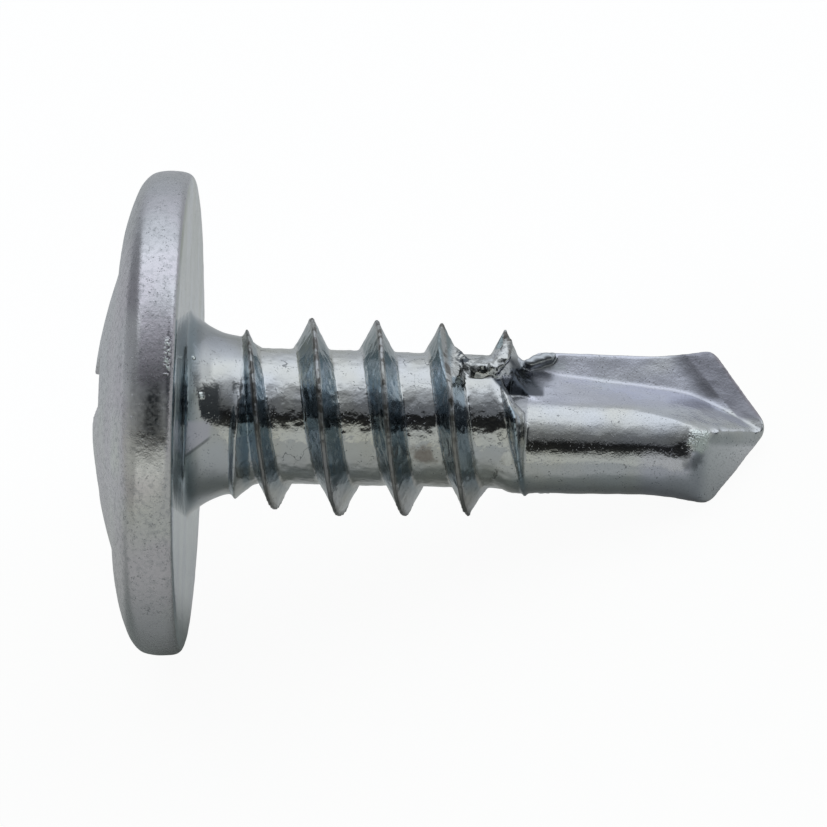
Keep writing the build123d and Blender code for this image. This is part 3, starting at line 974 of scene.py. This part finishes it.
def floor_material(settings):
    """A pale floor that the camera sees as white with the screw's soft shadow on it; it is painted lighter
    behind the screw and, for reflections, darker beneath it.
    """
    material = bpy.data.materials.new("pale_floor")
    material.use_nodes = True
    weave = Weave(material.node_tree)
    ray = weave.add("ShaderNodeLightPath")
    seen = (ray.out("Is Camera Ray") + ray.out("Is Transmission Ray")) * (1 - settings.shadow_share)
    where = weave.add("ShaderNodeTexCoord").out("Object")
    across = weave.add("ShaderNodeSeparateXYZ", None, {0: where}).out("Y")
    # Painted light and shadow: the floor is lighter behind the screw, and reflections see it darker beneath
    # the screw.
    behind, beneath = across.step(0.001, 0.008), across.step(-0.006, -0.0025) * across.step(0.0, -0.0018)
    seen = seen + ray.out("Is Glossy Ray") * (0.2 - beneath * 0.17)
    tone = weave.blend(behind, tuple(settings.floor_tone), (0.62, 0.65, 0.65))
    real = weave.add("ShaderNodeBsdfDiffuse", None, {"Color": tone})
    white = weave.add("ShaderNodeEmission", None, {"Color": (1, 1, 1, 1), "Strength": 1.125})
    both = weave.add("ShaderNodeMixShader", None, {0: seen, 1: real.out("BSDF"), 2: white.out("Emission")})
    weave.add("ShaderNodeOutputMaterial", None, {"Surface": both.out("Shader")})
    return material


class MESH_OT_drilling_screw(bpy.types.Operator):
    """Models the self drilling screw and lays it in the place of the plain one"""

    bl_idname = "mesh.drilling_screw"
    bl_label = "Self drilling screw"

    def execute(self, context):
        shape = context.scene.screw_shape
        placement = screw_placement()
        steps = 240
        outline = flowing(DOME, 3)[:-1] + flowing(RIM, 4) + flowing(NECK, 4)[:-1] + flowing(DIE_RING, 4)
        outline += flowing(ROOT[:-2], 3) + [Vector(point) for point in ROOT[-2:]]
        core = turned("core", outline, steps)
        lean_ring(core.data, shape.thread_turn)
        lean_end(core.data, context.scene.tent_settings.view_turn)
        for tool in recess_cutters(shape):
            cut(core, tool)
            discard(tool)

        root_radius = 1.45
        parts = [core, thread_ridge(shape, root_radius), drill_lobe(shape, steps)]
        opposite = parts[2].copy()
        opposite.data = parts[2].data.copy()
        middle, lobe_start, fade, drawn_in = Vector((shape.wall_offset, -shape.lobe_offset)), -7.52, 0.3, 0.2
        for vert in opposite.data.vertices:
            share = min(max((vert.co.z - lobe_start) / fade, 0), 1)
            vert.co.xy -= drawn_in * share * (vert.co.xy - middle)
        opposite.data.transform(Matrix.Rotation(pi, 4, "Z"))
        context.scene.collection.objects.link(opposite)
        parts.append(opposite)
        burrs = []
        for side in range(2):
            half_turn = Matrix.Rotation(side * pi, 4, "Z")
            for tool in (flute_cutter(shape), lip_cutter(shape)):
                tool.data.transform(half_turn)
                for part in parts:
                    cut(part, tool)
                discard(tool)
            burrs += flute_burrs(
                context.scene.tent_settings.view_turn + side * pi, LIP_BURR[2:5] if side else LIP_BURR
            )

        bm = bmesh.new()
        for part in parts + burrs:
            bm.from_mesh(part.data)
            discard(part)
        screw = as_piece("drilling_screw", bm)
        reshape(screw, "REMESH", mode="VOXEL", voxel_size=shape.grain_size * 1)
        reshape(screw, "SMOOTH", factor=0.5, iterations=2)
        soften_flanks(screw.data, shape)
        roughen(screw.data, shape.ripple)
        reshape(screw, "DECIMATE", ratio=min(1, shape.triangles / (2 * len(screw.data.polygons))))
        screw.data.transform(placement)
        screw.data.shade_smooth()
        screw.data.materials.clear()
        screw.data.materials.append(plating_material(shape, context.scene.screw_plating, placement))
        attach(screw, "root")
        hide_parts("screw")
        print("screw triangles", len(screw.data.polygons))
        return {"FINISHED"}


class SCENE_OT_light_tent(bpy.types.Operator):
    """Sets the floor, the light tent, the white background and the camera"""

    bl_idname = "scene.light_tent"
    bl_label = "Light tent"

    def execute(self, context):
        settings = context.scene.tent_settings
        placement = screw_placement()
        right, up, near = view_axes(settings, placement)

        bm = bmesh.new()
        bmesh.ops.create_grid(bm, x_segments=2, y_segments=2, size=settings.tent_radius * 4)
        ground = as_piece("floor", bm)
        ground.data.materials.append(floor_material(settings))

        bm = bmesh.new()
        bmesh.ops.create_icosphere(bm, subdivisions=5, radius=settings.tent_radius)
        tent = as_piece("tent", bm)
        tent.data.materials.append(tent_material(settings, placement))
        tent.visible_camera = False

        world = bpy.data.worlds.new("white_background")
        world.use_nodes = True
        weave = Weave(world.node_tree)
        ray = weave.add("ShaderNodeLightPath")
        seen = ray.out("Is Camera Ray") + ray.out("Is Glossy Ray") + ray.out("Is Transmission Ray")
        sky = weave.add("ShaderNodeBackground", None, {"Color": (1, 1, 1, 1), "Strength": seen})
        weave.add("ShaderNodeOutputWorld", None, {"Surface": sky.out("Background")})
        context.scene.world = world
        context.scene.view_settings.view_transform = "Standard"

        lens = bpy.data.cameras.new("camera")
        lens.sensor_width = 36
        distance_mm = settings.camera_distance * 1000
        lens.lens = settings.pixels_per_mm * distance_mm / settings.picture_width * lens.sensor_width
        lens.clip_start = 0.01
        camera = bpy.data.objects.new("camera", lens)
        context.scene.collection.objects.link(camera)
        middle = placement @ Vector((0, 0, -settings.view_depth)) + up * settings.view_rise / 1000
        turn = Matrix((right, up, near)).transposed().to_4x4()
        camera.matrix_world = Matrix.Translation(middle + near * settings.camera_distance) @ turn
        context.scene.camera = camera
        return {"FINISHED"}


class VIEW3D_PT_drilling_screw(bpy.types.Panel):
    bl_label = "Self drilling screw"
    bl_space_type = "VIEW_3D"
    bl_region_type = "UI"
    bl_category = "Screw"

    def draw(self, context):
        layout = self.layout
        for group, operator in (
            ("screw_shape", "mesh.drilling_screw"), ("screw_plating", None),
            ("tent_settings", "scene.light_tent"),
        ):
            settings = getattr(context.scene, group)
            box = layout.box()
            for name in settings.bl_rna.properties.keys():
                if name not in ("rna_type", "name"):
                    box.prop(settings, name)
            if operator:
                box.operator(operator)


CLASSES = (
    ScrewShape, ScrewPlating, TentSettings, MESH_OT_drilling_screw, SCENE_OT_light_tent,
    VIEW3D_PT_drilling_screw,
)


def register():
    for cls in CLASSES:
        bpy.utils.register_class(cls)
    bpy.types.Scene.screw_shape = PointerProperty(type=ScrewShape)
    bpy.types.Scene.screw_plating = PointerProperty(type=ScrewPlating)
    bpy.types.Scene.tent_settings = PointerProperty(type=TentSettings)


def unregister():
    del bpy.types.Scene.screw_shape
    del bpy.types.Scene.screw_plating
    del bpy.types.Scene.tent_settings
    for cls in reversed(CLASSES):
        bpy.utils.unregister_class(cls)


def main():
    register()
    bpy.ops.mesh.drilling_screw()
    bpy.ops.scene.light_tent()


if __name__ == "__main__":
    main()
